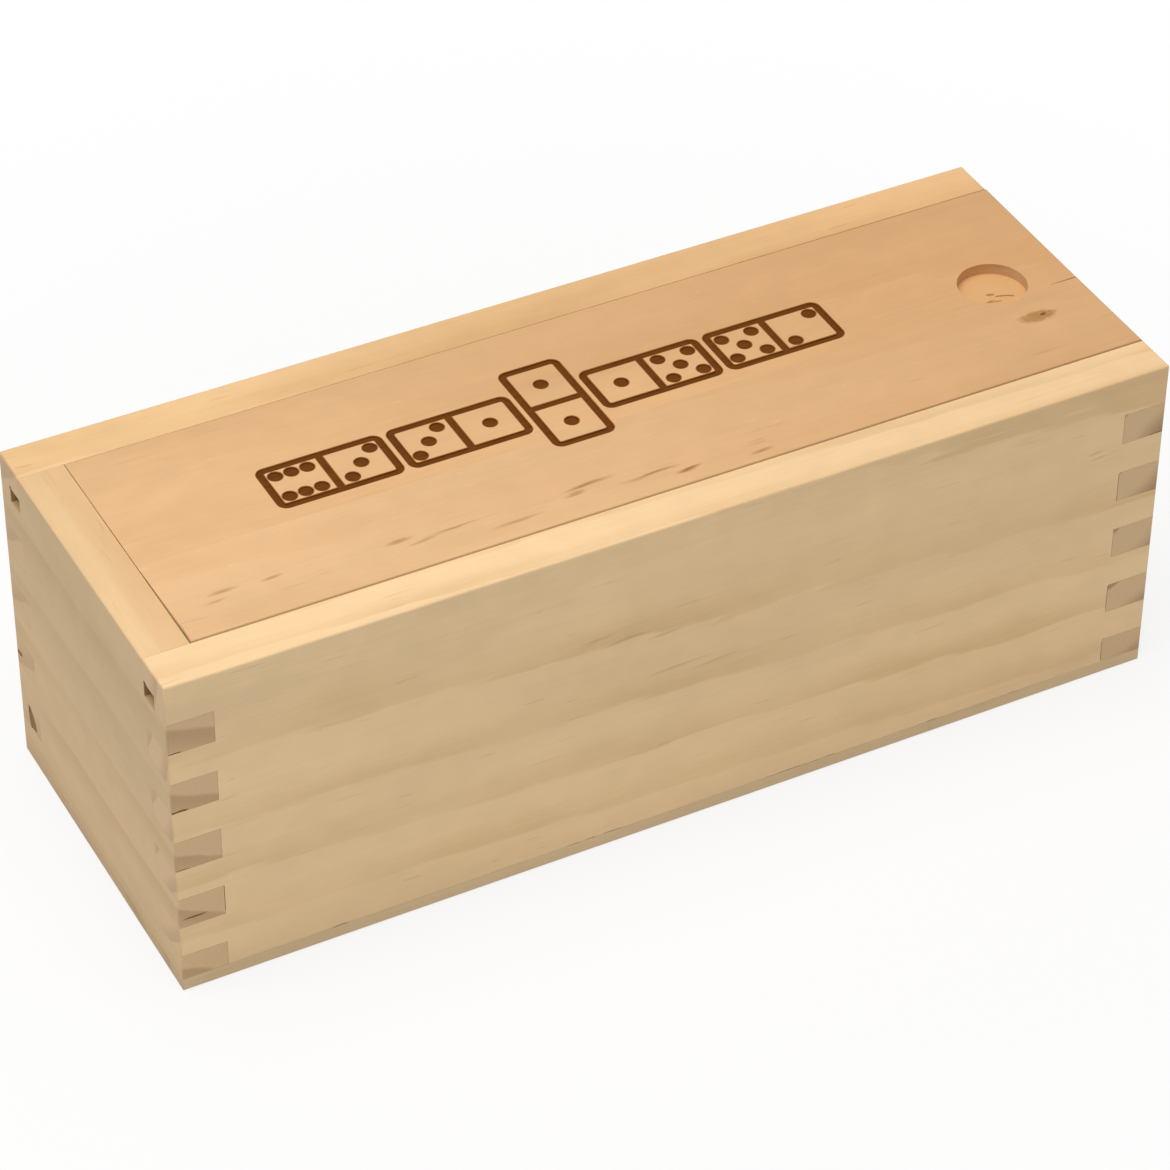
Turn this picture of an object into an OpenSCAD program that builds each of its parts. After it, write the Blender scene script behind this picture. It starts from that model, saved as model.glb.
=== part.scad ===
// Wooden storage box for a set of dominoes: finger-jointed corners and a lid that slides in grooves.
// Millimetres. X runs along the lid's travel towards the open end, and Z is up.
// The front long side faces -Y. The origin is the centre of the face that the box rests on.

/* [Box] */
// Outside length of the box, along the lid's travel
box_length = 180; // [150:1:240]
// Outside width of the box, across both side boards
box_width = 66; // [58:1:90]
// Height of the walls, without the bottom board
wall_height = 60.5; // [45:0.5:90]
// Thickness of the two long side boards
side_t = 8; // [7:0.5:12]
// Thickness of the two end boards
end_t = 8; // [7:0.5:12]
// Thickness of the board glued under the walls
bottom_t = 2.5; // [2:0.5:6]
// Radius of the sanded outer edges
ease_r = 0.4; // [0.3:0.1:1.5]

/* [Corner joints] */
// Height of one finger in the corner joints
finger_h = 6; // [4:0.5:12]

/* [Lid groove] */
// Height of the wood left above the lid groove
lip_h = 4.5; // [3:0.5:7]
// Height of the lid groove
groove_h = 3; // [2:0.5:5]
// Depth of the lid groove into a side board or the closed end
groove_d = 4; // [2:0.5:5]

/* [Lid] */
// Place across the lid of the glued seam between its two boards
lid_seam_y = -4.5; // [-12:0.5:12]
// Width of the small bevel round the lid's raised field
lid_bevel = 0.3; // [0.1:0.1:0.6]
// Diameter of the thumb notch
notch_d = 12; // [8:0.5:20]
// Depth of the thumb notch
notch_depth = 2; // [1:0.25:3.5]
// Distance from the open end of the box to the middle of the thumb notch
notch_inset = 14; // [12:1:30]

/* [Clearances] */
// Gap beside the lid's raised field, to the lips and to the closed end
field_gap = 0.2; // [0.1:0.05:0.5]
// Gap between the edge of the lid's tongue and the bottom of its groove
tongue_edge_gap = 0.4; // [0.2:0.05:1]
// Gap above the lid's tongue, and the same again below it
tongue_face_gap = 0.1; // [0.05:0.05:0.3]

/* [Hidden] */
$fn = 96;

// How far a cutter reaches past the face that it cuts
past = 1;

box_height = bottom_t + wall_height;
inner_length = box_length - 2 * end_t;
inner_width = box_width - 2 * side_t;

// The groove, and the top of the open end below it, where the lid passes
groove_top_z = box_height - lip_h;
groove_floor_z = groove_top_z - groove_h;

// The fingers below the groove, counted down: even ones are on the end boards, odd ones on the sides
finger_n = round((groove_floor_z - bottom_t) / finger_h);
function finger_top(i) = groove_floor_z - i * finger_h;
function finger_foot(i) = i == finger_n - 1 ? bottom_t : finger_top(i + 1);

// The lid is flush with the top of the box, and its tongue runs in the groove on three edges
tongue_t = groove_h - 2 * tongue_face_gap;
tongue_reach = groove_d - tongue_edge_gap;
lid_floor_z = groove_floor_z + tongue_face_gap;
lid_t = box_height - lid_floor_z;
tongue_width = inner_width + 2 * tongue_reach;
field_width = inner_width - 2 * field_gap;
tongue_length = box_length - end_t + tongue_reach;
field_length = box_length - end_t - field_gap;

side_colour = [0.80, 0.70, 0.53];
end_colour = [0.75, 0.66, 0.51];
bottom_colour = [0.72, 0.65, 0.54];
lid_front_colour = [0.87, 0.72, 0.51];
lid_back_colour = [0.88, 0.74, 0.54];

// A rectangle about the origin with true round corners
module eased_rectangle(w, h) {
    square([w - 2 * ease_r, h], center = true);
    square([w, h - 2 * ease_r], center = true);
    for (x = [-1, 1], y = [-1, 1])
        translate([x * (w / 2 - ease_r), y * (h / 2 - ease_r)])
            circle(r = ease_r);
}

// The whole box as one block with sanded edges, which every outer face of the boards follows
module eased_block() {
    translate([0, 0, box_height / 2])
        intersection() {
            linear_extrude(height = box_height + 2 * past, center = true)
                eased_rectangle(box_length, box_width);
            rotate([90, 0, 0])
                linear_extrude(height = box_width + 2 * past, center = true)
                    eased_rectangle(box_length, box_height);
            rotate([90, 0, 90])
                linear_extrude(height = box_length + 2 * past, center = true)
                    eased_rectangle(box_width, box_height);
        }
}

// What one level of the end boards' fingers takes out of a side board, at both of its ends
module socket_for_ends(top_z, foot_z) {
    for (end = [-1, 1])
        translate([end > 0 ? inner_length / 2 : -box_length / 2 - past, -box_width / 2 - past, foot_z])
            cube([end_t + past, box_width + 2 * past, top_z - foot_z]);
}

// What one level of the side boards' fingers takes out of an end board, at both of its ends
module socket_for_sides(top_z, foot_z) {
    for (side = [-1, 1])
        translate([-box_length / 2 - past, side > 0 ? inner_width / 2 : -box_width / 2 - past, foot_z])
            cube([box_length + 2 * past, side_t + past, top_z - foot_z]);
}

// Every socket in a side board
module side_board_sockets() {
    for (i = [0 : 2 : finger_n - 1])
        socket_for_ends(finger_top(i), finger_foot(i));
}

// Every socket in an end board: the tall one beside the lid, then one for each odd finger
module end_board_sockets() {
    socket_for_sides(box_height + past, groove_floor_z);
    for (i = [1 : 2 : finger_n - 1])
        socket_for_sides(finger_top(i), finger_foot(i));
}

// The lid groove runs through both ends of the side boards, so it shows as a hole beside the closed end
module lid_groove_in_sides() {
    translate([-box_length / 2 - past, -inner_width / 2 - groove_d, groove_floor_z])
        cube([box_length + 2 * past, inner_width + 2 * groove_d, groove_h]);
}

// The same groove across the inner face of the closed end
module lid_groove_in_end() {
    translate([-box_length / 2 + end_t - groove_d, -box_width / 2, groove_floor_z])
        cube([groove_d + past, box_width, groove_h]);
}

// One long side board: side is -1 at the front and 1 at the back
module side_board(side) {
    intersection() {
        eased_block();
        difference() {
            translate([-box_length / 2, side > 0 ? inner_width / 2 : -box_width / 2, bottom_t])
                cube([box_length, side_t, wall_height]);
            side_board_sockets();
            lid_groove_in_sides();
        }
    }
}

// One end board up to a given height: end is -1 at the closed end and 1 at the open end
module end_board(end, top_z) {
    intersection() {
        eased_block();
        difference() {
            translate([end > 0 ? inner_length / 2 : -box_length / 2, -box_width / 2, bottom_t])
                cube([end_t, box_width, top_z - bottom_t]);
            end_board_sockets();
        }
    }
}

module front_side() {
    color(side_colour) side_board(-1);
}

module back_side() {
    color(side_colour) side_board(1);
}

module closed_end() {
    color(end_colour)
        difference() {
            end_board(-1, box_height);
            lid_groove_in_end();
        }
}

// The open end stops at the floor of the groove, so that the lid passes over it
module open_end() {
    color(end_colour) end_board(1, groove_floor_z);
}

module bottom_board() {
    color(bottom_colour)
        intersection() {
            eased_block();
            translate([-box_length / 2, -box_width / 2, 0])
                cube([box_length, box_width, bottom_t]);
        }
}

// The lid's section across the box: a tongue on both edges and the bevelled field above
module lid_section_across() {
    polygon([
        [-tongue_width / 2, 0],
        [tongue_width / 2, 0],
        [tongue_width / 2, tongue_t],
        [field_width / 2, tongue_t],
        [field_width / 2, lid_t - lid_bevel],
        [field_width / 2 - lid_bevel, lid_t],
        [-field_width / 2 + lid_bevel, lid_t],
        [-field_width / 2, lid_t - lid_bevel],
        [-field_width / 2, tongue_t],
        [-tongue_width / 2, tongue_t]
    ]);
}

// The lid's section along the box, measured back from the open end
module lid_section_along() {
    polygon([
        [0, 0],
        [0, lid_t],
        [lid_bevel - field_length, lid_t],
        [-field_length, lid_t - lid_bevel],
        [-field_length, tongue_t],
        [-tongue_length, tongue_t],
        [-tongue_length, 0]
    ]);
}

// The whole lid, before it is parted at its seam
module lid_panel() {
    difference() {
        intersection() {
            eased_block();
            translate([0, 0, lid_floor_z])
                rotate([90, 0, 90])
                    linear_extrude(height = box_length + 2 * past, center = true)
                        lid_section_across();
            translate([box_length / 2, 0, lid_floor_z])
                rotate([90, 0, 0])
                    linear_extrude(height = box_width, center = true)
                        lid_section_along();
        }
        translate([box_length / 2 - notch_inset, 0, box_height - notch_depth])
            cylinder(d = notch_d, h = notch_depth + past);
    }
}

// The part of the lid on one side of its seam: side is -1 in front and 1 behind
module lid_half(side) {
    intersection() {
        lid_panel();
        translate([-box_length / 2, side > 0 ? lid_seam_y : lid_seam_y - box_width, 0])
            cube([box_length, box_width, box_height]);
    }
}

module lid_board_front() {
    color(lid_front_colour) lid_half(-1);
}

module lid_board_back() {
    color(lid_back_colour) lid_half(1);
}

front_side();
back_side();
closed_end();
open_end();
bottom_board();
lid_board_front();
lid_board_back();
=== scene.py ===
"""Looks of a wooden domino storage box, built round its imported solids.

Each board is a closed piece made from its solid: its arrises are broken, torn grain is cut into its
joints and a chain of domino tiles is burnt into the lid. The pine is one shader that saws every board
out of its own tree, so the rings on a face meet those on its end grain.
"""

import math
import random
from typing import NamedTuple

import bmesh
import bpy
from bpy.props import FloatProperty, FloatVectorProperty, PointerProperty
from bpy.types import Operator, Panel, PropertyGroup
from mathutils import Euler, Matrix, Vector


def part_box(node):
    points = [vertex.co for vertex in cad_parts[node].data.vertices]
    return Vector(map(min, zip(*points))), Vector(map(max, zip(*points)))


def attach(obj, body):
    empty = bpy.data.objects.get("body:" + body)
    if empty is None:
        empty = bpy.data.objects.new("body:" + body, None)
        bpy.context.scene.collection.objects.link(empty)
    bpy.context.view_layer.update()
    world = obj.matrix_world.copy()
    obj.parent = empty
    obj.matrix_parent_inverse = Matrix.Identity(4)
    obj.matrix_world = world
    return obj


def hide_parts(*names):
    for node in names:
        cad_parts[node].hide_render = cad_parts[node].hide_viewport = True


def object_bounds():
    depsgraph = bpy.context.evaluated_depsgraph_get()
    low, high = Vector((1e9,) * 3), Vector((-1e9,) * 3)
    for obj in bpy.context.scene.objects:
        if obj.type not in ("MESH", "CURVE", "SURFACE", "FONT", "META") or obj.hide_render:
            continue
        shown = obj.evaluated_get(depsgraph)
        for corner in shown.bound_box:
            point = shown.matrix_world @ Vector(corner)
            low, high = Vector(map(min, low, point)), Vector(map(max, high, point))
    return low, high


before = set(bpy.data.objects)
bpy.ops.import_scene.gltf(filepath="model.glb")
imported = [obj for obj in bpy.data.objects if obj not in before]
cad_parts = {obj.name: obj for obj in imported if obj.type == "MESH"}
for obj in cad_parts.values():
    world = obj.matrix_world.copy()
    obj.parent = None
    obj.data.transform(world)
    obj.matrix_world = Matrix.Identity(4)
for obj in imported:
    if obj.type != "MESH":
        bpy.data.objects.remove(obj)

bl_info = {
    "name": "Domino storage box",
    "version": (1, 0, 0),
    "blender": (4, 5, 0),
    "location": "View3D > Sidebar > Domino box",
    "description": "Builds the boards, the burnt lid and the stage of a domino storage box",
    "category": "Add Mesh",
}

MM = 0.001
BOX_LOW, BOX_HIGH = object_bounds()

# Vertices closer than MERGE become one, and places closer than CLOSE count as the same
MERGE = 1e-6
CLOSE = 1e-5

# Edges sharper than SQUARE get a broken arris, and those sharper than CRISP stay crisp in the shading
SQUARE = math.radians(50)
CRISP = math.radians(42)


class Plank(NamedTuple):
    """How one board was sawn and how it looks, with lengths in millimetres."""

    pith: tuple  # the tree's middle, across the fibres and up
    ring: float  # width of a year's ring
    sway: float  # how far the pith wanders
    seed: float  # which stretch of the noises the board is cut from
    contrast: float  # strength of the rings on the faces
    ends: tuple  # lightness of the end grain, and strength of its rings
    resin: tuple  # middle and half width of the band with resin streaks, and their strength
    sparse: float  # 0.7 for many resin streaks, 0.8 for hardly any
    turn: float = 0  # degrees from X to the fibres
    drift: tuple = (0, 0)  # how the pith moves away along the fibres, across and up
    shade: tuple = (1, 1, 1)  # tint of the whole board
    amber: float = 0  # how much warmer the board gets towards the open end
    lean: float = 0  # how much darker the board gets for each millimetre across
    # The edge tints are painted light from above on the top edge, and a lighter outer tint is a painted
    # highlight
    edge: tuple = ()  # tints of the top edge's inner and outer half, where they differ from the face


PLANKS = {
    # Its edge tints paint the warmer light from above on its top edge
    "front_side": Plank(
        pith=(19.7, 66.9),
        drift=(0.019, 0.025),
        ring=6.64,
        sway=1.5,
        seed=1,
        contrast=0.4,
        ends=(1.03, 0.45),
        resin=(30, 60, 0.15),
        sparse=0.8,
        amber=0.2,
        edge=((1, 0.96, 0.945), (1, 0.96, 0.945)),
    ),
    "back_side": Plank(
        pith=(80, 125),
        drift=(0.06, 0),
        ring=12,
        sway=6,
        seed=2,
        contrast=0.45,
        ends=(1.0, 0.4),
        resin=(30, 60, 0.28),
        sparse=0.78,
        shade=(0.93, 0.84, 0.76),
        amber=0.7,
    ),
    # Its shade is partly painted shade, for the dimmer and cooler light on its end face, and its edge tints
    # paint the light from above back on its top, with a painted highlight along the outer arris
    "closed_end": Plank(
        turn=90,
        pith=(122, -57.8),
        drift=(0, 0.02),
        ring=11.6,
        sway=2,
        seed=3,
        contrast=0.3,
        ends=(1.02, 0.6),
        resin=(30, 60, 0.2),
        sparse=0.79,
        shade=(0.785, 0.762, 0.735),
        edge=((1.09, 1.0, 0.955), (1.12, 1.09, 1.08)),
    ),
    "open_end": Plank(
        turn=90,
        pith=(-24, 114),
        drift=(0, -0.02),
        ring=9.3,
        sway=2,
        seed=4,
        contrast=0.3,
        ends=(1, 1),
        resin=(30, 60, 0.2),
        sparse=0.79,
        shade=(0.86, 0.83, 0.8),
    ),
    "bottom_board": Plank(
        pith=(10, -40),
        drift=(0.02, 0),
        ring=7,
        sway=8,
        seed=5,
        contrast=0.5,
        ends=(0.865, 0.4),
        resin=(0, 60, 0),
        sparse=0.8,
    ),
    "lid_board_front": Plank(
        pith=(30, 0),
        drift=(0.1, 0),
        ring=9,
        sway=8,
        seed=6,
        contrast=0.22,
        ends=(1.1, 0.5),
        resin=(-18.5, 3, 0.2),
        sparse=0.735,
        amber=0.85,
    ),
    "lid_board_back": Plank(
        pith=(34, 118),
        drift=(0.1, 0.02),
        ring=10,
        sway=8,
        seed=7,
        contrast=0.22,
        ends=(1.1, 0.5),
        resin=(20, 4, 0.1),
        sparse=0.79,
        shade=(0.95, 0.925, 0.885),
        amber=0.85,
        lean=0.0026,
    ),
}

# Resin streaks that a board is known for: place along X, place across the face (Y on the lid and
# Z on a wall), half length, all in millimetres, and strength
STREAKS = {
    "lid_board_front": [
        (-72.6, -15.9, 2.6, 0.6),
        (-74.5, -17.7, 2.0, 0.5),
        (-64.3, -16.1, 2.0, 0.6),
        (-43.0, -17.0, 2.4, 0.6),
        (-39.5, -18.5, 3.0, 0.5),
        (-33.5, -17.9, 4.4, 0.7),
        (-24.0, -20.9, 4.6, 0.5),
        (-10.2, -17.5, 4.8, 0.8),
        (-13.0, -18.8, 2.2, 0.6),
        (0.3, -19.8, 5.0, 0.75),
        (6.3, -21.4, 2.4, 1.0),
        (19.0, -22.3, 2.2, 0.6),
    ],
    "front_side": [
        (-16.0, 44.6, 3.4, 0.25),
        (-10.5, 42.6, 4.4, 0.3),
        (-3.5, 41.3, 3.4, 0.25),
        (-1.0, 33.6, 6.0, 0.25),
        (5.5, 32.2, 5.0, 0.2),
        (76.8, 49.4, 1.8, 0.3),
        (77.6, 48.2, 2.0, 0.25),
    ],
}
STREAK_CLIMB = 0.05  # how far a streak climbs for each millimetre along
STREAK_WIDTH = 0.4  # half width of a streak, in millimetres
STREAK_END = 0.9  # reach from a streak's middle to the end of its half length
STREAK_FADE = (0.1, 1.2)  # reaches between which a streak fades out

# Knots: place along X and across, and half length and half width, all in millimetres
KNOTS = {"lid_board_front": ((78.0, -11.2), (3.6, 1.5))}

# The dark eye of a knot: its place from the knot's middle, and its half length and half width
EYE_OFFSET = (1.2, 0.1)
EYE_SIZE = (0.9, 0.6)

# Where a board that leans from light to dark has its own tone, in millimetres across
LEAN_MIDDLE = 21.0

# The stretch along X over which a board turns amber, in millimetres
AMBER_RANGE = (-80.0, 95.0)

# The painted light on a top edge: its inner and outer tints part between these distances from the outer
# face, by a line that wanders this far to and fro, and they show between these depths under the top, all
# in millimetres
EDGE_PARTING = (4.5, 2.8)
EDGE_WANDER = 1.5
EDGE_DEPTH = (0.4, 0.1)

# Looks that are the same on every board: the tint of the painted light on the floor of the thumb notch,
# the share of the burnt colour painted as shade into the groove's dark ends, and the depth of the bumps
# in the wood
PAINTED_NOTCH_LIGHT = (1.075, 1.085, 1.035)
PAINTED_GROOVE_SHADE = 0.55
BUMP_DEPTH = 0.1 * MM


def linear(colour):
    """A colour as it is seen on a screen, turned into the light that a shader needs."""
    return [c / 12.92 if c <= 0.04045 else ((c + 0.055) / 1.055) ** 2.4 for c in colour]


def seen(name, description, default):
    """A colour property whose value is the colour as it is seen."""
    return FloatVectorProperty(
        name=name, description=description, default=default, min=0, max=1, subtype="COLOR_GAMMA"
    )


def length(name, description, default):
    """A length property, in metres, shown in the scene's own unit."""
    return FloatProperty(
        name=name, description=description, default=default, min=0, unit="LENGTH", precision=5
    )


class DominoBoxSizes(PropertyGroup):
    """Sizes that the solids don't give"""

    arris: length("Arris", "Width of the broken edges at joints and grooves", 0.08 * MM)
    hairline: length("Hairline", "Width of an open glue line at a finger's end", 0.1 * MM)
    tile_long: length("Tile length", "Length of one burnt domino tile", 22 * MM)
    tile_wide: length("Tile width", "Width of one burnt domino tile", 11 * MM)
    tile_gap: length("Tile gap", "Gap between neighbouring burnt tiles", 1 * MM)
    tile_corner: length("Tile corner", "Corner radius of a burnt tile", 1.6 * MM)
    tile_line: length("Tile line", "Width of a burnt line", 1.15 * MM)
    pip: length("Pip", "Diameter of a burnt pip", 2.4 * MM)
    pip_step: length("Pip step", "Distance between neighbouring pips of a half tile", 2.8 * MM)
    motif_x: length("Motif along", "Distance of the motif's middle from the lid's closed end", 81.1 * MM)
    motif_y: length("Motif across", "Distance of the motif's middle from the lid's front edge", 32.6 * MM)
    burn_depth: length("Burn depth", "Depth of the burnt lines", 0.25 * MM)
    scorch: length("Scorch", "Width of the scorched rim beside a burnt line", 0.16 * MM)
    scorch_depth: length("Scorch depth", "Depth of the scorched rim", 0.05 * MM)


class DominoBoxColours(PropertyGroup):
    """Colours of the wood, as they are seen"""

    wall_early: seen("Wall, early wood", "Pale part of a year's ring in the walls", (0.92, 0.80, 0.62))
    wall_late: seen("Wall, late wood", "Dark part of a year's ring in the walls", (0.80, 0.65, 0.43))
    lid_early: seen("Lid, early wood", "Pale part of a year's ring in the lid", (0.848, 0.69, 0.508))
    lid_late: seen("Lid, late wood", "Dark part of a year's ring in the lid", (0.79, 0.59, 0.39))
    amber: seen("Amber", "Tint of the boards towards the open end", (0.93, 0.89, 0.85))
    sheet_early: seen("Bottom, early wood", "Pale part of the bottom board", (0.85, 0.745, 0.59))
    sheet_late: seen("Bottom, late wood", "Dark part of the bottom board", (0.76, 0.65, 0.49))
    end_early: seen("End grain, early wood", "Pale part of the cut fibres' ends", (0.83, 0.705, 0.545))
    end_late: seen("End grain, late wood", "Dark part of the cut fibres' ends", (0.67, 0.54, 0.39))
    resin: seen("Resin", "Short streaks of resin", (0.60, 0.42, 0.24))
    knot: seen("Knot", "The small knot in the lid", (0.65, 0.455, 0.215))
    # Torn grain is darker partly for its own broken fibres and partly as painted shade in the hollows of
    # chips and tears
    torn: seen("Torn grain", "Broken fibres in chips and tears", (0.60, 0.47, 0.32))
    # The burnt colour is also painted as shade into the groove's dark ends at the closed end
    burnt: seen("Burnt wood", "The bottom of the burnt lines", (0.39, 0.21, 0.03))
    gouged: seen("Gouged wood", "Lifted fibres in the thumb notch", (0.73, 0.53, 0.33))
    scorched: seen("Scorched wood", "The rim beside the burnt lines", (0.60, 0.38, 0.18))


class DominoBoxStage(PropertyGroup):
    """Camera and lamps"""

    lens: FloatProperty(name="Lens", description="Focal length on a 36 mm sensor", default=139.4)
    softbox_power: FloatProperty(
        name="Softbox", description="Power of the lamp overhead", default=10.8, unit="POWER"
    )
    fill: FloatProperty(name="Fill", description="Strength of the light from all round", default=0.4, min=0)


def choices():
    """The scene's settings: sizes, colours and stage."""
    scene = bpy.context.scene
    return scene.domino_box_sizes, scene.domino_box_colours, scene.domino_box_stage


class Value:
    """A socket in a material. Arithmetic on it adds Math nodes."""

    def __init__(self, finish, socket):
        self.finish = finish
        self.socket = socket

    def math(self, operation, *others):
        return self.finish.node("ShaderNodeMath", {"operation": operation}, [self, *others])

    def __add__(self, other):
        return self.math("ADD", other)

    __radd__ = __add__

    def __sub__(self, other):
        return self.math("SUBTRACT", other)

    def __rsub__(self, other):
        return self.finish.node("ShaderNodeMath", {"operation": "SUBTRACT"}, [other, self])

    def __mul__(self, other):
        return self.math("MULTIPLY", other)

    __rmul__ = __mul__

    def __truediv__(self, other):
        return self.math("DIVIDE", other)

    def __pow__(self, other):
        return self.math("POWER", other)


class Finish:
    """A material and the nodes that are added to it."""

    def __init__(self, name):
        self.material = bpy.data.materials.new(name)
        self.material.use_nodes = True
        self.tree = self.material.node_tree
        self.tree.nodes.clear()

    def node(self, kind, settings=None, sockets=None, output=0):
        """Adds a node: its settings are made first, then its sockets are set or linked."""
        made = self.tree.nodes.new(kind)
        for setting, value in (settings or {}).items():
            setattr(made, setting, value)
        pairs = sockets.items() if isinstance(sockets, dict) else enumerate(sockets or [])
        for key, value in pairs:
            if isinstance(value, Value):
                self.tree.links.new(value.socket, made.inputs[key])
            else:
                made.inputs[key].default_value = value
        return Value(self, made.outputs[output]) if len(made.outputs) else None

    def place(self):
        """A place on the piece, in metres."""
        return self.node("ShaderNodeTexCoord", {}, {}, "Object")

    def mark(self, name):
        """A number that the piece's faces carry."""
        return self.node("ShaderNodeAttribute", {"attribute_name": name}, {}, "Fac")

    def vector(self, x, y, z):
        return self.node("ShaderNodeCombineXYZ", {}, [x, y, z])

    def split(self, kind, whole):
        """The three numbers of a vector or a colour."""
        first = self.node(kind, {}, [whole])
        return [Value(self, output) for output in first.socket.node.outputs]

    def vector_math(self, operation, *values, output=0):
        """For vectors and colours, which a Math node would flatten to one number."""
        return self.node("ShaderNodeVectorMath", {"operation": operation}, values, output)

    def noise(self, where, detail=1.0, output=0):
        sockets = {"Vector": where, "Scale": 1.0, "Detail": detail, "Roughness": 0.5}
        return self.node("ShaderNodeTexNoise", {}, sockets, output)

    def ease(self, value, low, high):
        """0 below low, 1 above high, and a smooth step between."""
        sockets = {"Value": value, "From Min": low, "From Max": high, "To Min": 0.0, "To Max": 1.0}
        return self.node("ShaderNodeMapRange", {"interpolation_type": "SMOOTHSTEP"}, sockets)

    def peak(self, value, middle, low, high):
        """1 where the value is within low of the middle, 0 past high, and a smooth slope between."""
        return 1 - self.ease((value - middle).math("ABSOLUTE"), low, high)

    def mix(self, share, one, other, blend="MIX"):
        """A mix of two colours, whose share, colours and result are the node's sockets 0, 6, 7 and 2."""
        colours = [c if isinstance(c, Value) else (*c, 1.0) for c in (one, other)]
        sockets = {0: share, 6: colours[0], 7: colours[1]}
        return self.node("ShaderNodeMix", {"data_type": "RGBA", "blend_type": blend}, sockets, 2)

    def tone(self, colour, by):
        """A colour made lighter or darker."""
        return self.node("ShaderNodeVectorMath", {"operation": "SCALE"}, {0: colour, "Scale": by})

    def surface(self, colour, roughness, height, bump, gloss):
        """Ends the material: height is the relief's, bump is how strongly it shows."""
        bumped = {"Strength": bump, "Distance": BUMP_DEPTH, "Height": height}
        sockets = {
            "Base Color": colour,
            "Roughness": roughness,
            "Specular IOR Level": gloss,
            "Normal": self.node("ShaderNodeBump", {}, bumped),
        }
        shader = self.node("ShaderNodeBsdfPrincipled", {}, sockets)
        self.node("ShaderNodeOutputMaterial", {}, {"Surface": shader})
        return self.material


def placed_streaks(finish, streaks, run, middle, bend):
    """Strength of each resin streak at a place: every streak is a slanted spindle that is bent a little."""
    place = finish.vector(run, middle - run * STREAK_CLIMB + bend, 0.0)
    for at_x, at_y, half_length, strength in streaks:
        squeeze = (STREAK_END / half_length, 1 / STREAK_WIDTH, 0)
        centre = (-squeeze[0] * at_x, -squeeze[1] * (at_y - at_x * STREAK_CLIMB), 0)
        squeezed = finish.vector_math("MULTIPLY_ADD", place, squeeze, centre)
        reach = finish.vector_math("LENGTH", squeezed, output="Value")
        yield (1 - finish.ease(reach, *STREAK_FADE)) * strength


def oval(run, across, at, size):
    """Squared distance from the middle of an oval, which is 1 on its rim."""
    return ((run - at[0]) / size[0]) ** 2.0 + ((across - at[1]) / size[1]) ** 2.0


def with_knot(finish, face, at, knot, run, across, up):
    """A face with its knot: a pale halo, a patchy heart and a small dark eye with a rim."""
    colours = choices()[1]
    eye_at = (at[0] + EYE_OFFSET[0], at[1] + EYE_OFFSET[1])
    eye_reach = oval(run, across, eye_at, EYE_SIZE) ** 0.5
    patchy = finish.noise(finish.vector(run * 0.6, across * 1.3, up), 2.0)
    reach = knot ** 0.5 + (patchy - 0.5) * 0.9
    halo = finish.peak(reach, 1.3, 0.1, 0.45)
    heart = 1 - finish.ease(reach, 0.7, 1.1)
    rim = finish.peak(eye_reach + (patchy - 0.5) * 1.2, 1.3, 0.1, 0.4)
    eye = 1 - finish.ease(eye_reach + (patchy - 0.5) * 1.6, 0.4, 0.8)
    face = finish.mix(halo * 0.3, face, linear(colours.lid_early))
    face = finish.mix(heart * (patchy * 0.7 + 0.35), face, linear(colours.knot))
    face = finish.mix(rim * 0.5, face, linear(colours.knot))
    return finish.mix(eye * 0.85, face, linear(colours.burnt))


def with_painted_top_light(finish, colour, plank, across, up, wave):
    """Painted light on a board's top edge: tints for the light from above, parted by a line that wanders
    along it.
    """
    outer_face = (BOX_HIGH.x if plank.turn else BOX_HIGH.y) / MM
    outwards = across.math("ABSOLUTE") + (wave - 0.5) * (2 * EDGE_WANDER)
    outer = finish.ease(outwards, *(outer_face - distance for distance in EDGE_PARTING))
    top = finish.ease(up, *(BOX_HIGH.z / MM - depth for depth in EDGE_DEPTH))
    return finish.mix(top, colour, finish.mix(outer, *plank.edge), "MULTIPLY")


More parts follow.
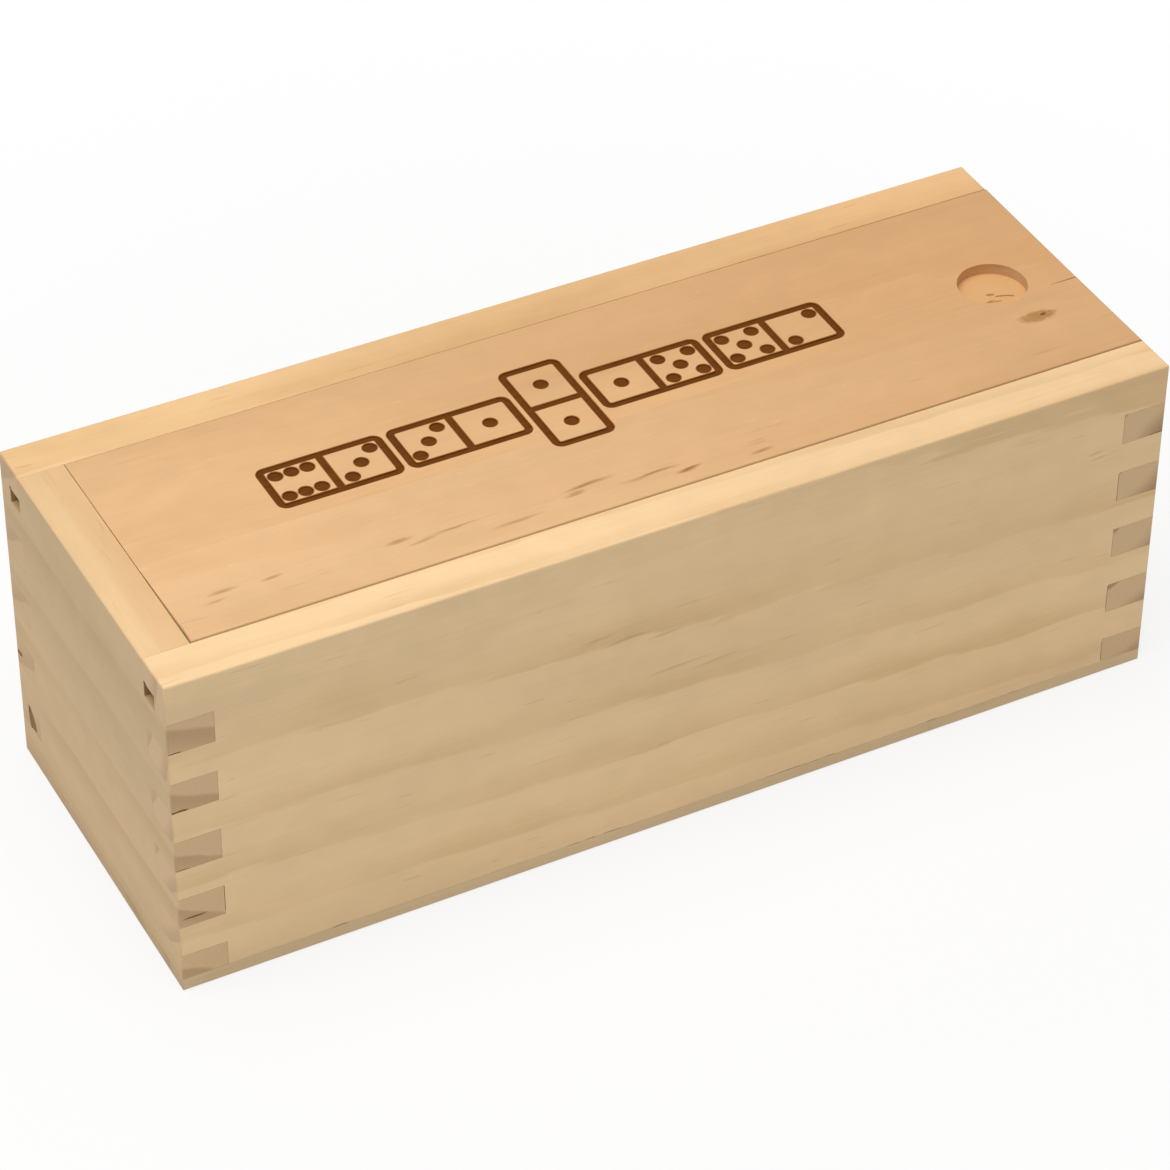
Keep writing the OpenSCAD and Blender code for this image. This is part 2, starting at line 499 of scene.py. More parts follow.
def pine(name, node, early, late):
    """Bare sanded pine, sawn out of a tree whose pith runs along the board at a distance."""
    colours = choices()[1]
    plank = PLANKS[node]
    on_lid = node.startswith("lid")
    finish = Finish(name)
    early, late = (Vector(linear(c)) * Vector(plank.shade) for c in (early, late))

    # Places in the tree, in millimetres: along the fibres, across them and up
    shift = 1000.0 * plank.seed
    sawn = {
        "Vector": finish.place(),
        "Location": (shift, 0, 0),
        "Rotation": (0, 0, -math.radians(plank.turn)),
        "Scale": (1 / MM, 1 / MM, 1 / MM),
    }
    along, across, up = finish.split("ShaderNodeSeparateXYZ", finish.node("ShaderNodeMapping", {}, sawn))
    run = along - shift

    def grain(coarse, fine, detail=1.0, output=0):
        """Noise drawn out along the fibres: its scales are per millimetre, along and across."""
        return finish.noise(finish.vector(along * coarse, across * fine, up * fine), detail, output)

    # Distance from the wandering pith, which a knot pushes aside
    sway, sway_up, _ = finish.split("ShaderNodeSeparateColor", grain(0.007, 0.012, 1.0, 1))
    wave = grain(0.02, 0.12, 2.0)
    side = across - plank.pith[0] + run * plank.drift[0] + (sway - 0.5) * plank.sway * 2.0
    rise = up - plank.pith[1] + run * plank.drift[1] + (sway_up - 0.5) * plank.sway * 2.0
    if node in KNOTS:
        at, size = KNOTS[node]
        knot = oval(run, across, at, size)
        rise = rise + (knot * -0.35).math("EXPONENT") * 5.0
    is_end = finish.mark("end_grain")
    flame = (grain(0.07, 0.7, 2.0) - 0.5) * (1 - is_end) * 2.2
    far = (side * side + rise * rise) ** 0.5 + (wave - 0.5) * 2.4 + flame

    # Year rings: each turns from early to late wood and drops back at its end
    ring = (far + (far * 0.11 + plank.seed).math("SINE") * 0.8) / plank.ring
    phase = ring.math("FRACT")
    year = finish.node("ShaderNodeTexWhiteNoise", {"noise_dimensions": "1D"}, {"W": ring.math("FLOOR")})
    drop = 1 - finish.ease(phase, 0.93, 1.0)
    dark = finish.ease(phase, 0.25, 0.95) ** 1.5 * drop
    patch = finish.ease(grain(0.025, 0.1), 0.35, 0.65)
    face = finish.mix(dark * (year * 0.6 + 0.4) * (patch * 0.8 + 0.5) * plank.contrast, early, late)

    # Tones that wander over the face, from fine fibres to large clouds
    fibre = grain(0.03, 1.3, 3.0)
    hair = grain(0.12, 5.5, 1.0)
    cloud = grain(0.012, 0.05, 2.0)
    mottle = grain(0.16, 0.22, 1.0)
    level = (fibre - 0.5) * 0.08 + (hair - 0.5) * 0.06 + (cloud - 0.5) * 0.24 + (mottle - 0.5) * 0.1 + 1.0
    if plank.lean:
        level = level - (across - LEAN_MIDDLE) * plank.lean
    face = finish.tone(face, level)

    # Resin streaks: a band of chance ones, and those that the board is known for
    bent = (across + (mottle - 0.5) * 0.9) * 1.9
    streak = finish.noise(finish.vector(along * 0.13, bent, up * 1.9), 0.0)
    streak = finish.ease(streak, plank.sparse, plank.sparse + 0.05)
    band_at, band_half, band_strength = plank.resin
    middle = across if on_lid else up
    streak = streak * finish.peak(middle, band_at, band_half * 0.7, band_half * 1.2) * band_strength
    if node in STREAKS:
        bend = (mottle - 0.5) * 0.7 + (fibre - 0.5) * 1.2
        for placed in placed_streaks(finish, STREAKS[node], run, middle, bend):
            streak = streak.math("MAXIMUM", placed)
        streak = streak * (hair * 0.9 + 0.55)
    face = finish.mix(streak, face, linear(colours.resin))

    if node in KNOTS:
        face = with_knot(finish, face, at, knot, run, across, up)
    if on_lid:
        glint = finish.ease(finish.noise(finish.vector(along * 0.5, across * 1.1, up), 1.0), 0.68, 0.78)
        face = finish.tone(face, glint * 0.06 + 1.0)

    # End grain: the same rings, with pores
    pores = finish.noise(finish.vector(along * 0.3, across * 4.0, up * 4.0), 2.0)
    end_tone, end_rings = plank.ends
    ends = finish.mix(
        finish.ease(phase, 0.45, 0.92) * drop * end_rings,
        Vector(linear(colours.end_early)) * end_tone,
        Vector(linear(colours.end_late)) * end_tone,
    )
    ends = finish.tone(ends, (pores - 0.5) * 0.25 + 1.0)
    colour = finish.mix(is_end, face, ends)

    if plank.amber:
        warm = finish.ease(run, *AMBER_RANGE) * plank.amber
        colour = finish.mix(warm, colour, linear(colours.amber), "MULTIPLY")
    # Painted light from above on the top edge, with a painted highlight where the outer tint is lighter
    if plank.edge:
        colour = with_painted_top_light(finish, colour, plank, across, up, wave)
    # Painted light: the floor of the thumb notch is lightened as if it lay in full light
    colour = finish.mix(finish.mark("painted_notch_light"), colour, PAINTED_NOTCH_LIGHT, "MULTIPLY")
    # Painted shade: the burnt colour darkens the groove's holes and gaps at the closed end, which lie in
    # shade
    colour = finish.mix(finish.mark("painted_groove_shade") * PAINTED_GROOVE_SHADE, colour, linear(colours.burnt))
    relief = fibre * 0.5 + hair * 0.5 + dark * 0.4
    return finish.surface(colour, hair * 0.1 + 0.55, relief, 0.25, 0.3)


def rough_wood(name, colour, seed, spread):
    """Broken or burnt wood: one colour that wanders along the grain."""
    finish = Finish(name)
    stretched = {"Vector": finish.place(), "Location": (seed, 0, 0), "Scale": (260.0, 1500.0, 1500.0)}
    grain = finish.noise(finish.node("ShaderNodeMapping", {}, stretched), 3.0)
    tint = finish.tone(linear(colour), (grain - 0.5) * spread + 1.0)
    return finish.surface(tint, grain * 0.2 + 0.65, grain, 0.5, 0.1)


def solid_copy(node):
    """A closed mesh of a solid: its loose triangles merged and its flat faces made whole."""
    bm = bmesh.new()
    bm.from_mesh(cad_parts[node].data)
    bmesh.ops.remove_doubles(bm, verts=bm.verts, dist=MERGE)
    bmesh.ops.dissolve_limit(bm, angle_limit=math.radians(0.5), verts=bm.verts, edges=bm.edges)
    bmesh.ops.recalc_face_normals(bm, faces=bm.faces)
    return bm


def break_arrises(bm, width):
    """Takes the sharpness off every square edge."""
    square = [e for e in bm.edges if e.is_manifold and e.calc_face_angle() > SQUARE]
    bmesh.ops.bevel(
        bm,
        geom=square,
        offset=width,
        offset_type="OFFSET",
        segments=2,
        profile=0.5,
        affect="EDGES",
        clamp_overlap=True,
        material=-1,
    )


# The lid's raised field on the solid: how far it reaches down from the lid's top, and how far its
# bevelled edge lies from the lip, both with a little to spare
FIELD_DEEP = 4.55 * MM
FIELD_EDGE = 0.51 * MM

# What the field gets instead: its gap to the back lip and how much wider that gets towards the open
# end, its gap to the closed end, and a sharper edge
BACK_GAP = 0.04 * MM
BACK_GAP_GROWTH = 0.1 * MM
END_GAP = 0.08 * MM
SHARP_EDGE = 0.06 * MM


def fit_snugly(bm, node):
    """Brings the lid's raised field closer to the back lip and to the closed end, with a sharper edge."""
    low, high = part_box("lid_board_front")[0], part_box("lid_board_back")[1]
    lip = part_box("back_side")[0].y
    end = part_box("closed_end")[1].x
    for vert in bm.verts:
        x, y, z = vert.co
        if z < high.z - FIELD_DEEP:
            continue
        drop = high.z - z
        inset = SHARP_EDGE if drop < 0.01 * MM else 0
        beside_lip = node == "lid_board_back" and lip - FIELD_EDGE < y < lip - 0.1 * MM
        beside_end = end - 0.01 * MM < x < end + FIELD_EDGE and y > -lip + 1 * MM
        if beside_lip:
            vert.co.y = lip - BACK_GAP - BACK_GAP_GROWTH * (x - low.x) / (high.x - low.x) - inset
        if beside_end:
            vert.co.x = end + END_GAP + inset
        if (beside_lip or beside_end) and drop < 1 * MM:
            vert.co.z = high.z - min(drop, SHARP_EDGE)


def part_faces(bm, place, direction):
    """Parts the faces that a plane crosses."""
    everything = list(bm.verts) + list(bm.edges) + list(bm.faces)
    bmesh.ops.bisect_plane(bm, geom=everything, plane_co=place, plane_no=direction)


def new_piece(name, bm):
    """Turns a bmesh into an object at the origin."""
    mesh = bpy.data.meshes.new(name)
    bm.to_mesh(mesh)
    bm.free()
    piece = bpy.data.objects.new(name, mesh)
    bpy.context.scene.collection.objects.link(piece)
    return piece


def carve(piece, bm, material):
    """Cuts a bmesh out of a piece and leaves the cut faces in a material."""
    cutter = new_piece(piece.name + "_cutter", bm)
    cutter.data.materials.append(material)
    carving = piece.modifiers.new("carving", "BOOLEAN")
    carving.operation = "DIFFERENCE"
    carving.solver = "EXACT"
    carving.use_self = True
    carving.material_mode = "TRANSFER"
    carving.object = cutter
    bpy.context.view_layer.update()
    ready = piece.evaluated_get(bpy.context.evaluated_depsgraph_get())
    carved = bpy.data.meshes.new_from_object(ready)
    piece.modifiers.clear()
    piece.data = carved
    bpy.data.objects.remove(cutter)


def mark_faces(piece, name, marked):
    """Gives every face a number, which the piece's material reads."""
    marks = piece.data.attributes.new(name, "FLOAT", "FACE")
    for polygon in piece.data.polygons:
        marks.data[polygon.index].value = float(marked(polygon.center, polygon.normal))


def mark_end_grain(piece, turn):
    """Marks how squarely each face cuts the fibres, which run along X, or along Y on a turned board."""
    fibres = Vector((0, 1, 0)) if turn else Vector((1, 0, 0))
    mark_faces(piece, "end_grain", lambda centre, normal: abs(normal.dot(fibres)) ** 1.5)


# Depth and height of the lid groove, with a little to spare, and depth of the thumb notch
GROOVE_DEEP = 4.01 * MM
GROOVE_HIGH = 3.01 * MM
NOTCH_DEEP = 2 * MM


def mark_painted_groove_shade(piece, node):
    """Marks the faces where the groove runs out through the closed end's joints, which get painted shade."""
    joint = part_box("closed_end")[1].x
    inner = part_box("front_side")[1].y
    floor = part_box("open_end")[1].z

    # Faces that get painted shade: the groove's end in a side, the closed end's faces in the joint, the
    # tongues' ends
    def burnt(centre, normal):
        x, y, z = centre
        if node.endswith("_side"):
            in_groove = abs(y) < abs(inner) + GROOVE_DEEP and floor - CLOSE < z < floor + GROOVE_HIGH
            return x < joint and in_groove and abs(normal.x) < 0.5
        if node == "closed_end":
            return z > floor and abs(abs(y) - abs(inner)) < CLOSE
        return node.startswith("lid") and normal.x < -0.9 and abs(y) > abs(inner)

    mark_faces(piece, "painted_groove_shade", burnt)


def mark_painted_notch_light(piece, node):
    """Marks the floor of the lid's thumb notch, which gets painted light to lift it out of the notch's
    shade.
    """
    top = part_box("lid_board_back")[1].z

    def on_floor(centre, normal):
        return node.startswith("lid") and abs(top - NOTCH_DEEP - centre.z) < 1 * MM and normal.z > 0.9

    mark_faces(piece, "painted_notch_light", on_floor)


def finish_board(piece, node, body):
    """Shades a board, hides its solid and lets it ride on its body."""
    mark_end_grain(piece, PLANKS[node].turn)
    mark_painted_groove_shade(piece, node)
    mark_painted_notch_light(piece, node)
    piece.data.polygons.foreach_set("use_smooth", [True] * len(piece.data.polygons))
    piece.data.set_sharp_from_angle(angle=CRISP)
    even = piece.modifiers.new("even shading", "WEIGHTED_NORMAL")
    even.keep_sharp = True
    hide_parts(node)
    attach(piece, body)


# Wear by chance: the number of splinters along a side's bottom, the share of finger corners that are
# chipped, the share of the closed end's joints with no open glue line, and how ragged a splinter is
BOTTOM_SPLINTERS = 12
CHIPPED = 0.4
TIGHT = 0.75
RAGGED = (0.72, 1.12)


def splinter(bm, at, size, turn, rng):
    """Adds a jagged lump, long, wide and deep in metres, as the shape of one torn-out splinter."""
    place = Matrix.Translation(at) @ Euler(turn).to_matrix().to_4x4() @ Matrix.Diagonal((*size, 1))
    made = bmesh.ops.create_icosphere(bm, subdivisions=2, radius=0.5, matrix=place)
    for vert in made["verts"]:
        offset = vert.co - Vector(at)
        vert.co = Vector(at) + offset * rng.uniform(*RAGGED)


# Tears that show in the joints at the closed end: place, size and turn about X, in millimetres and degrees
TEARS = {
    "back_side": [
        ((-90, 28.2, 9.3), (0.9, 3.2, 6.6), -24),
        ((-90, 28.9, 11.4), (0.6, 1.4, 2.6), -50),
        ((-90, 31.5, 22), (0.6, 2.6, 1.0), -10),
        ((-90, 28.6, 58.4), (0.9, 1.5, 0.9), 30),
        ((-90, 25.8, 55.6), (0.7, 1.6, 0.6), 10),
    ],
    "front_side": [
        ((-90, -25.6, 58.5), (0.8, 1.8, 0.8), 12),
        ((-90, -28.9, 56.2), (0.8, 0.8, 1.6), -15),
    ],
    "closed_end": [
        ((-88.6, -33, 37.7), (3.2, 0.5, 0.6), 0),
        ((-87.2, -33, 15.2), (4.6, 0.25, 0.5), 0),
    ],
}


def tear(bm, node, rng):
    """Adds the shapes of the tears that a board is known for."""
    for at, size, turn in TEARS.get(node, ()):
        splinter(bm, [c * MM for c in at], [c * MM for c in size], (math.radians(turn), 0, 0), rng)


def joint_heights():
    """Heights of the finger boundaries in the corner joints, from the bottom board up."""
    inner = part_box("front_side")[1].y
    foot, top = (corner.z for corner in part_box("open_end"))
    corners = [v.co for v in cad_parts["open_end"].data.vertices]
    heights = {round(corner.z, 5) for corner in corners if abs(corner.y - inner) < CLOSE}
    return sorted(heights | {round(foot, 5), round(top, 5)})


def slit(bm, low, high):
    """Adds a thin box between two corners, as the shape of an open glue line."""
    middle = (Vector(low) + Vector(high)) / 2
    size = Vector(high) - Vector(low)
    bmesh.ops.create_cube(bm, size=1.0, matrix=Matrix.Translation(middle) @ Matrix.Diagonal((*size, 1)))


class DOMINOBOX_OT_side_boards(Operator):
    """Makes the two long side boards, with open glue lines and torn grain at their joints"""

    bl_idname = "domino_box.side_boards"
    bl_label = "Side boards"

    def execute(self, context):
        sizes, colours, _ = choices()
        # Torn grain, whose dark colour is partly painted shade in the hollows of the chips and tears
        torn = rough_wood("torn_side_grain_and_shade", colours.torn, 3.0, 0.5)
        for node, out in (("front_side", -1), ("back_side", 1)):
            bm = solid_copy(node)
            break_arrises(bm, sizes.arris)
            # Parted at the closed end's inner face, so that the groove's end inside the joint can take
            # painted shade
            part_faces(bm, (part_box("closed_end")[1].x, 0, 0), (1, 0, 0))
            piece = new_piece(node + "_board", bm)
            piece.data.materials.append(pine(node + "_pine", node, colours.wall_early, colours.wall_late))
            carve(piece, self.wear(node, out, sizes), torn)
            finish_board(piece, node, "box")
        return {"FINISHED"}

    def wear(self, node, out, sizes):
        """Open glue lines beside the end boards' fingers, splinters along the bottom joint, and tears."""
        rng = random.Random(node)
        bm = bmesh.new()
        low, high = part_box(node)
        face = low.y if out < 0 else high.y
        inner_x = (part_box("closed_end")[1].x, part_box("open_end")[0].x)
        heights = joint_heights()
        for foot, top in list(zip(heights, heights[1:]))[::2]:
            for end, x in zip((-1, 1), inner_x):
                if rng.random() < (TIGHT if end < 0 else 0):
                    continue
                wide = sizes.hairline * rng.uniform(0.5, 1.5)
                edge = x + wide if end < 0 else x - wide
                near, far = sorted((face + out * MM, face - out * rng.uniform(0.1, 0.35) * MM))
                slit(
                    bm,
                    (min(x, edge), near, foot + rng.uniform(0.1, 0.8) * MM),
                    (max(x, edge), far, top - rng.uniform(0.05, 0.6) * MM),
                )
        for _ in range(BOTTOM_SPLINTERS):
            x = rng.uniform(low.x + 12 * MM, high.x - 12 * MM)
            size = (rng.uniform(1.5, 5) * MM, 0.4 * MM, rng.uniform(0.2, 0.45) * MM)
            splinter(bm, (x, face, low.z), size, (0, 0, 0), rng)
        tear(bm, node, rng)
        return bm


class DOMINOBOX_OT_end_boards(Operator):
    """Makes the two end boards, with chips at the corners of their fingers"""

    bl_idname = "domino_box.end_boards"
    bl_label = "End boards"

    def execute(self, context):
        sizes, colours, _ = choices()
        # Torn grain, whose dark colour is partly painted shade in the hollows of the chips and tears
        torn = rough_wood("torn_end_grain_and_shade", colours.torn, 5.0, 0.5)
        for node in ("closed_end", "open_end"):
            bm = solid_copy(node)
            break_arrises(bm, sizes.arris)
            piece = new_piece(node + "_board", bm)
            piece.data.materials.append(pine(node + "_pine", node, colours.wall_early, colours.wall_late))
            carve(piece, self.chips(node), torn)
            finish_board(piece, node, "box")
        return {"FINISHED"}

    def chips(self, node):
        """Splinters torn from the lower outer corners of the fingers."""
        rng = random.Random(node)
        bm = bmesh.new()
        low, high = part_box(node)
        outer = low.x if node == "closed_end" else high.x
        heights = joint_heights()
        for foot, _ in list(zip(heights, heights[1:]))[::2]:
            for y in (low.y, high.y):
                if rng.random() < CHIPPED:
                    size = (rng.uniform(1.5, 4) * MM, rng.uniform(0.3, 0.7) * MM, rng.uniform(0.3, 0.6) * MM)
                    x = outer + math.copysign(size[0] / 2.5, -outer)
                    splinter(bm, (x, y, foot), size, (0, 0, 0), rng)
        tear(bm, node, rng)
        return bm


class DOMINOBOX_OT_bottom_board(Operator):
    """Makes the thin board glued under the walls"""

    bl_idname = "domino_box.bottom_board"
    bl_label = "Bottom board"

    def execute(self, context):
        sizes, colours, _ = choices()
        bm = solid_copy("bottom_board")
        break_arrises(bm, sizes.arris)
        piece = new_piece("bottom_sheet", bm)
        wood = pine("bottom_pine", "bottom_board", colours.sheet_early, colours.sheet_late)
        piece.data.materials.append(wood)
        finish_board(piece, "bottom_board", "box")
        return {"FINISHED"}


# Where the pips of a half tile lie, in steps from its middle, and the tiles of the chain from left to right
PIPS = {
    1: [(0, 0)],
    2: [(-1, -1), (1, 1)],
    3: [(-1, -1), (0, 0), (1, 1)],
    5: [(-1, -1), (-1, 1), (0, 0), (1, -1), (1, 1)],
    6: [(i, j) for i in (-1, 0, 1) for j in (-1, 1)],
}
CHAIN = [(6, 3), (3, 1), (1, 1), (1, 5), (5, 2)]


def tile_faces(bm, middle, turned, spread, sizes):
    """Adds the flat outline of one tile, parted in two halves by its bar. A double lies across the chain."""
    long_side = sizes.tile_long + 2 * spread
    wide_side = sizes.tile_wide + 2 * spread
    line = sizes.tile_line + 2 * spread
    place = Matrix.Translation(middle) @ Matrix.Rotation(math.radians(90 if turned else 0), 4, "Z")
    flat = Matrix.Diagonal((long_side, wide_side, 1, 1))
    tile = bmesh.new()
    bmesh.ops.create_grid(tile, x_segments=1, y_segments=1, size=0.5, matrix=flat)
    bmesh.ops.bevel(
        tile,
        geom=list(tile.verts),
        offset=sizes.tile_corner + spread,
        offset_type="OFFSET",
        segments=6,
        profile=0.5,
        affect="VERTICES",
        material=-1,
    )
    part_faces(tile, (0, 0, 0), (1, 0, 0))
    halves = list(tile.faces)
    bmesh.ops.inset_individual(tile, faces=halves, thickness=line, use_even_offset=True)
    for half in halves:
        for vert in half.verts:
            if abs(vert.co.x) < line * 1.01:
                vert.co.x *= 0.5
    bmesh.ops.delete(tile, geom=halves, context="FACES_ONLY")
    bmesh.ops.transform(tile, matrix=place, verts=tile.verts)
    scratch = bpy.data.meshes.new("tile")
    tile.to_mesh(scratch)
    tile.free()
    bm.from_mesh(scratch)
    bpy.data.meshes.remove(scratch)
    return place


def chain_cutter(top, depth, spread, sizes, middle):
    """The chain of tiles as a closed solid that reaches from above the lid down to the given depth."""
    bm = bmesh.new()
    widths = [sizes.tile_wide if a == b else sizes.tile_long for a, b in CHAIN]
    full = sum(widths) + sizes.tile_gap * (len(CHAIN) - 1)
    x = middle.x - full / 2
    for (first, second), width in zip(CHAIN, widths):
        turned = first == second
        place = tile_faces(bm, (x + width / 2, middle.y, top - depth), turned, spread, sizes)
        for count, end in ((first, -1), (second, 1)):
            for i, j in PIPS[count]:
                spot = Vector((end * sizes.tile_long / 4 + i * sizes.pip_step, j * sizes.pip_step, 0))
                bmesh.ops.create_circle(
                    bm,
                    cap_ends=True,
                    segments=24,
                    radius=sizes.pip / 2 + spread,
                    matrix=place @ Matrix.Translation(spot),
                )
        x += width + sizes.tile_gap
    bmesh.ops.recalc_face_normals(bm, faces=bm.faces)
    for face in bm.faces:
        if face.normal.z > 0:
            face.normal_flip()
    grown = bmesh.ops.extrude_face_region(bm, geom=list(bm.faces), use_keep_orig=True)
    raised = [g for g in grown["geom"] if isinstance(g, bmesh.types.BMVert)]
    bmesh.ops.translate(bm, vec=(0, 0, depth + MM), verts=raised)
    bmesh.ops.recalc_face_normals(bm, faces=bm.faces)
    return bm


# Gouges in the floor of the thumb notch: place, size and turn about Z, in millimetres and degrees
GOUGES = [
    ((75.7, -0.1), (1.9, 0.8, 0.5), -15),
    ((77.5, -1.3), (3.2, 0.6, 0.4), -17),
    ((78.8, -1.9), (1.2, 0.5, 0.3), -20),
    ((74.8, -1.9), (1.9, 0.8, 0.5), -4),
    ((76.0, -2.3), (1.4, 0.4, 0.3), 0),
]

# The open stretch of the lid's seam, as a splinter about the seam's end: length, width and depth
OPEN_SEAM = (11 * MM, 0.36 * MM, 0.5 * MM)


class DOMINOBOX_OT_lid_boards(Operator):
    """Makes the lid's two boards, with the burnt chain of tiles and the tears in the thumb notch"""

    bl_idname = "domino_box.lid_boards"
    bl_label = "Lid boards"

    def execute(self, context):
        sizes, colours, _ = choices()
        burnt = rough_wood("burnt_lines", colours.burnt, 7.0, 0.9)
        scorched = rough_wood("scorched_rim", colours.scorched, 8.0, 0.5)
        torn = rough_wood("torn_lid_grain", colours.gouged, 9.0, 0.4)
        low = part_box("lid_board_front")[0]
        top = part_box("lid_board_back")[1].z
        middle = Vector((low.x + sizes.motif_x, low.y + sizes.motif_y, top))
        for node in ("lid_board_front", "lid_board_back"):
            bm = solid_copy(node)
            fit_snugly(bm, node)
            break_arrises(bm, sizes.arris)
            # Parted at the walls' inner faces, so that the tongues' ends can take painted shade in the
            # groove
            for side in ("front_side", "back_side"):
                part_faces(bm, (0, min(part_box(side), key=lambda corner: abs(corner.y)).y, 0), (0, 1, 0))
            piece = new_piece(node.replace("board_", "") + "_board", bm)
            piece.data.materials.append(pine(node + "_pine", node, colours.lid_early, colours.lid_late))
            carve(piece, chain_cutter(top, sizes.scorch_depth, sizes.scorch, sizes, middle), scorched)
            carve(piece, chain_cutter(top, sizes.burn_depth, 0.0, sizes, middle), burnt)
            carve(piece, self.gouges(top), torn)
            finish_board(piece, node, "lid")
        return {"FINISHED"}

    def gouges(self, top):
        """Torn grain in the floor of the thumb notch, and the seam that opens at the lid's end."""
        rng = random.Random(11)
        bm = bmesh.new()
        for at, size, turn in GOUGES:
            place = (at[0] * MM, at[1] * MM, top - NOTCH_DEEP)
            splinter(bm, place, [c * MM for c in size], (0, 0, math.radians(turn)), rng)
        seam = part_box("lid_board_back")[0].y
        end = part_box("lid_board_back")[1].x
        splinter(bm, (end, seam, top), OPEN_SEAM, (0, 0, 0), rng)
        return bm


# The camera, fitted to the photograph's corners, and the lamp, fitted to its shading
CAMERA_AT = (-275.7 * MM, -519.9 * MM, 504.1 * MM)
CAMERA_TARGET = (-4.0 * MM, -5.6 * MM, 31.5 * MM)
CAMERA_ROLL = math.radians(0.47)
LAMP_AT = (-0.2, -0.05, 1.1)
LAMP_SIZE = 0.9
LAMP_COLOUR = (1.0, 0.985, 0.96)

# The floor, which shows a little of its shadows near the box and none further out
FLOOR_HALF = 4.0
FLOOR_DROP = 0.05 * MM
FLOOR_GREY = (0.82, 0.82, 0.82, 1)
FLOOR_PLAIN = 0.8  # share of plain white near the box
FLOOR_FADE = (0.08, 0.25)  # distances from the middle over which that share grows to 1
WHITE = (1, 1, 1, 1)


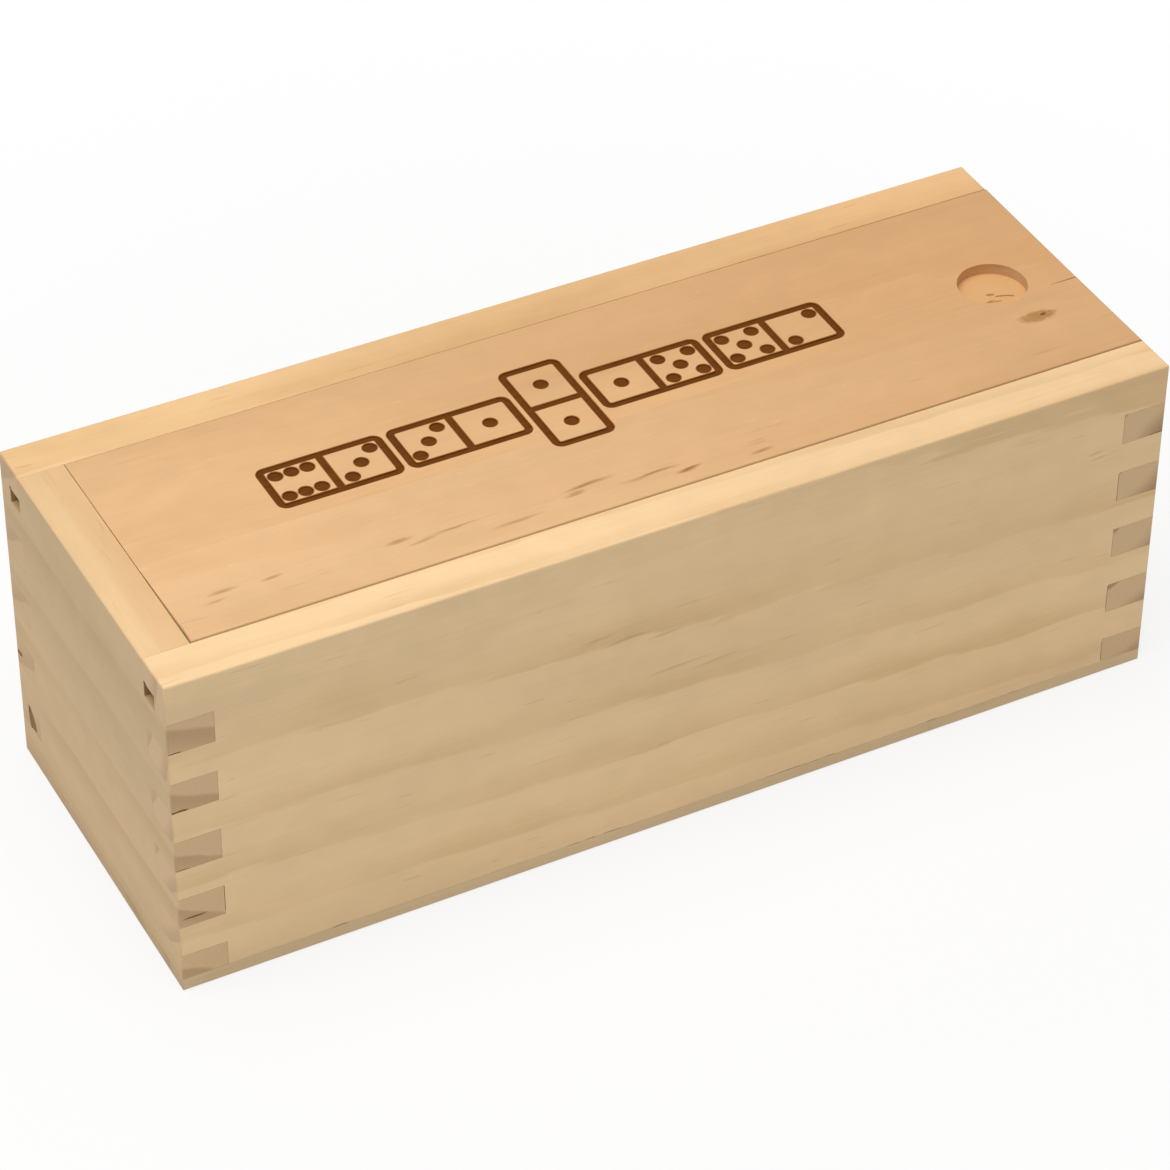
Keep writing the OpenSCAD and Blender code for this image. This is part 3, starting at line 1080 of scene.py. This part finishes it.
class DOMINOBOX_OT_stage(Operator):
    """Makes the floor, the lamp, the light from all round and the camera"""

    bl_idname = "domino_box.stage"
    bl_label = "Stage"

    def execute(self, context):
        stage = choices()[2]
        bpy.context.scene.view_settings.view_transform = "Standard"
        self.floor()
        self.lamp(stage)
        self.surroundings(stage)
        self.camera(stage)
        return {"FINISHED"}

    def floor(self):
        """A floor that keeps the box's soft shadow near it and looks plain white further out."""
        bm = bmesh.new()
        under = Matrix.Translation((0, 0, -FLOOR_DROP))
        bmesh.ops.create_grid(bm, x_segments=1, y_segments=1, size=FLOOR_HALF, matrix=under)
        floor = new_piece("floor", bm)
        finish = Finish("white_floor")
        lit = finish.node("ShaderNodeBsdfDiffuse", {}, {"Color": FLOOR_GREY})
        glow = finish.node("ShaderNodeEmission", {}, {"Color": WHITE, "Strength": 1.0})
        path = finish.node("ShaderNodeLightPath")
        rays = ("Is Camera Ray", "Is Glossy Ray", "Is Transmission Ray")
        camera, glossy, clear = (Value(finish, path.socket.node.outputs[ray]) for ray in rays)
        direct = camera.math("MAXIMUM", glossy).math("MAXIMUM", clear)
        distance = finish.vector_math("LENGTH", finish.place(), output="Value")
        share = finish.ease(distance, *FLOOR_FADE) * (1 - FLOOR_PLAIN) + FLOOR_PLAIN
        mixed = finish.node("ShaderNodeMixShader", {}, [direct * share, lit, glow])
        finish.node("ShaderNodeOutputMaterial", {}, {"Surface": mixed})
        floor.data.materials.append(finish.material)

    def lamp(self, stage):
        """One wide soft box overhead."""
        lamp = bpy.data.lights.new("softbox", "AREA")
        lamp.shape = "SQUARE"
        lamp.size = LAMP_SIZE
        lamp.energy = stage.softbox_power
        lamp.color = LAMP_COLOUR
        holder = bpy.data.objects.new("softbox", lamp)
        bpy.context.scene.collection.objects.link(holder)
        holder.location = LAMP_AT
        holder.rotation_euler = Vector(LAMP_AT).to_track_quat("Z", "Y").to_euler()

    def surroundings(self, stage):
        """Even white light, and a plain white background for the camera."""
        world = bpy.data.worlds.new("white_room")
        bpy.context.scene.world = world
        world.use_nodes = True
        tree = world.node_tree
        tree.nodes.clear()
        path = tree.nodes.new("ShaderNodeLightPath")
        seen_directly = tree.nodes.new("ShaderNodeMath")
        seen_directly.operation = "MAXIMUM"
        tree.links.new(path.outputs["Is Camera Ray"], seen_directly.inputs[0])
        tree.links.new(path.outputs["Is Glossy Ray"], seen_directly.inputs[1])
        strength = tree.nodes.new("ShaderNodeMapRange")
        strength.inputs["To Min"].default_value = stage.fill
        strength.inputs["To Max"].default_value = 1.0
        tree.links.new(seen_directly.outputs[0], strength.inputs["Value"])
        light = tree.nodes.new("ShaderNodeBackground")
        tree.links.new(strength.outputs[0], light.inputs["Strength"])
        light.inputs["Color"].default_value = WHITE
        out = tree.nodes.new("ShaderNodeOutputWorld")
        tree.links.new(light.outputs[0], out.inputs["Surface"])

    def camera(self, stage):
        """The photograph's viewing angle."""
        camera = bpy.data.cameras.new("camera")
        camera.lens = stage.lens
        camera.sensor_width = 36
        holder = bpy.data.objects.new("camera", camera)
        bpy.context.scene.collection.objects.link(holder)
        holder.location = CAMERA_AT
        back = Vector(CAMERA_AT) - Vector(CAMERA_TARGET)
        turned = back.to_track_quat("Z", "Y").to_matrix() @ Matrix.Rotation(CAMERA_ROLL, 3, "Z")
        holder.rotation_euler = turned.to_euler()
        bpy.context.scene.camera = holder


OPERATORS = (
    DOMINOBOX_OT_side_boards,
    DOMINOBOX_OT_end_boards,
    DOMINOBOX_OT_bottom_board,
    DOMINOBOX_OT_lid_boards,
    DOMINOBOX_OT_stage,
)


class DOMINOBOX_PT_panel(Panel):
    """Lists the box's operators and settings"""

    bl_idname = "DOMINOBOX_PT_panel"
    bl_label = "Domino box"
    bl_space_type = "VIEW_3D"
    bl_region_type = "UI"
    bl_category = "Domino box"

    def draw(self, context):
        for operator in OPERATORS:
            self.layout.operator(operator.bl_idname)
        for group in choices():
            column = self.layout.column()
            for setting in group.bl_rna.properties:
                if setting.identifier not in ("rna_type", "name"):
                    column.prop(group, setting.identifier)


GROUPS = {
    "domino_box_sizes": DominoBoxSizes,
    "domino_box_colours": DominoBoxColours,
    "domino_box_stage": DominoBoxStage,
}
CLASSES = (*GROUPS.values(), *OPERATORS, DOMINOBOX_PT_panel)


def register():
    for each in CLASSES:
        bpy.utils.register_class(each)
    for name, group in GROUPS.items():
        setattr(bpy.types.Scene, name, PointerProperty(type=group))


def unregister():
    for name in GROUPS:
        delattr(bpy.types.Scene, name)
    for each in reversed(CLASSES):
        bpy.utils.unregister_class(each)


def main():
    register()
    bpy.ops.domino_box.side_boards()
    bpy.ops.domino_box.end_boards()
    bpy.ops.domino_box.bottom_board()
    bpy.ops.domino_box.lid_boards()
    bpy.ops.domino_box.stage()


if __name__ == "__main__":
    main()
